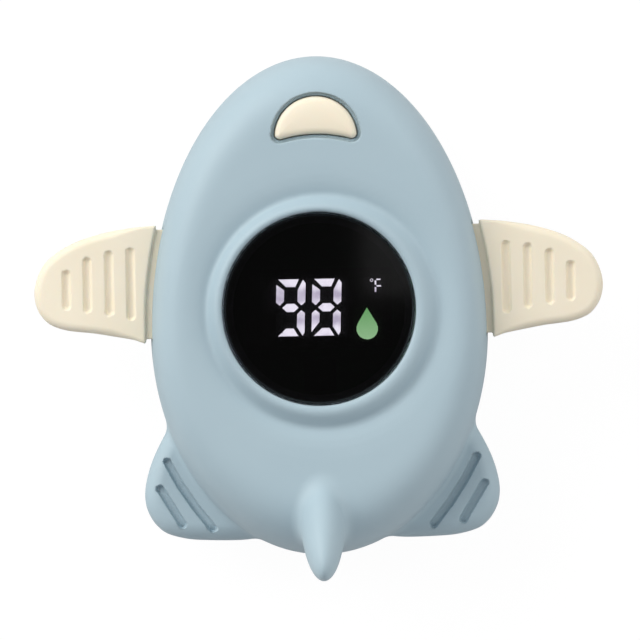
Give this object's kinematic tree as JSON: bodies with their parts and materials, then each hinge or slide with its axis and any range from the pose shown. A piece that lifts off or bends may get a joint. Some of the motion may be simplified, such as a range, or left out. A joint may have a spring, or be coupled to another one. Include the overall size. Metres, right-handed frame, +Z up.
{
  "type": "bath thermometer",
  "caption": "Toy rocket floating bath thermometer with a round lit display, a push button, plug-in wings and tail fins.",
  "frame": {"origin": "middle of the flat underside on the display's axis, on the battery door's outer face", "axes": "+Z up out of the display, +Y to the nose, +X to the right wing seen from above"},
  "size_m": [0.108, 0.0994, 0.0453],
  "materials": {
    "soft_touch_blue": "soft-touch matt",
    "cream_silicone": "matt silicone",
    "smoked_window": "polished",
    "black_plastic": "moulded",
    "lit_segments": "lit diffuser",
    "grey_silicone": "matt silicone",
    "circuit_board": "solder mask",
    "steel": "bright",
    "cell_label": "printed sleeve",
    "red_insulation": "wire insulation",
    "black_insulation": "wire insulation"
  },
  "bodies": {
    "housing": {"upper_shell": "soft_touch_blue", "lower_shell": "soft_touch_blue", "battery_door": "soft_touch_blue", "wing_left": "cream_silicone", "wing_right": "cream_silicone", "display_lens": "smoked_window", "display_housing": "black_plastic", "display_mask": "black_plastic", "segment_plate": "lit_segments", "lens_gasket": "grey_silicone", "shell_seal": "grey_silicone", "door_seal": "grey_silicone", "button_seal": "grey_silicone", "button_retainer": "black_plastic", "tact_switch": "black_plastic", "controller_chip": "black_plastic", "thermistor": "black_plastic", "main_board": "circuit_board", "battery_1": "cell_label", "battery_2": "cell_label", "battery_spring_1": "steel", "battery_spring_2": "steel", "contact_bridge": "steel", "contact_negative": "steel", "contact_positive": "steel", "probe_tip": "steel", "battery_lead_negative": "black_insulation", "battery_lead_positive": "red_insulation", "probe_lead": "black_insulation", "housing_screw_1": "steel", "housing_screw_2": "steel", "housing_screw_3": "steel", "housing_screw_4": "steel", "door_screw_1": "steel", "door_screw_2": "steel", "board_screw_1": "steel", "board_screw_2": "steel", "board_screw_3": "steel", "retainer_screw_1": "steel", "retainer_screw_2": "steel"},
    "button": {"mode_button": "cream_silicone", "switch_plunger": "cream_silicone"}
  },
  "joints": [
    {"name": "button_press", "type": "slide", "parent": "housing", "child": "button", "axis": [0, 0, -1], "range_m": [0, 0.0005], "stiffness_N_per_m": 2000}
  ]
}
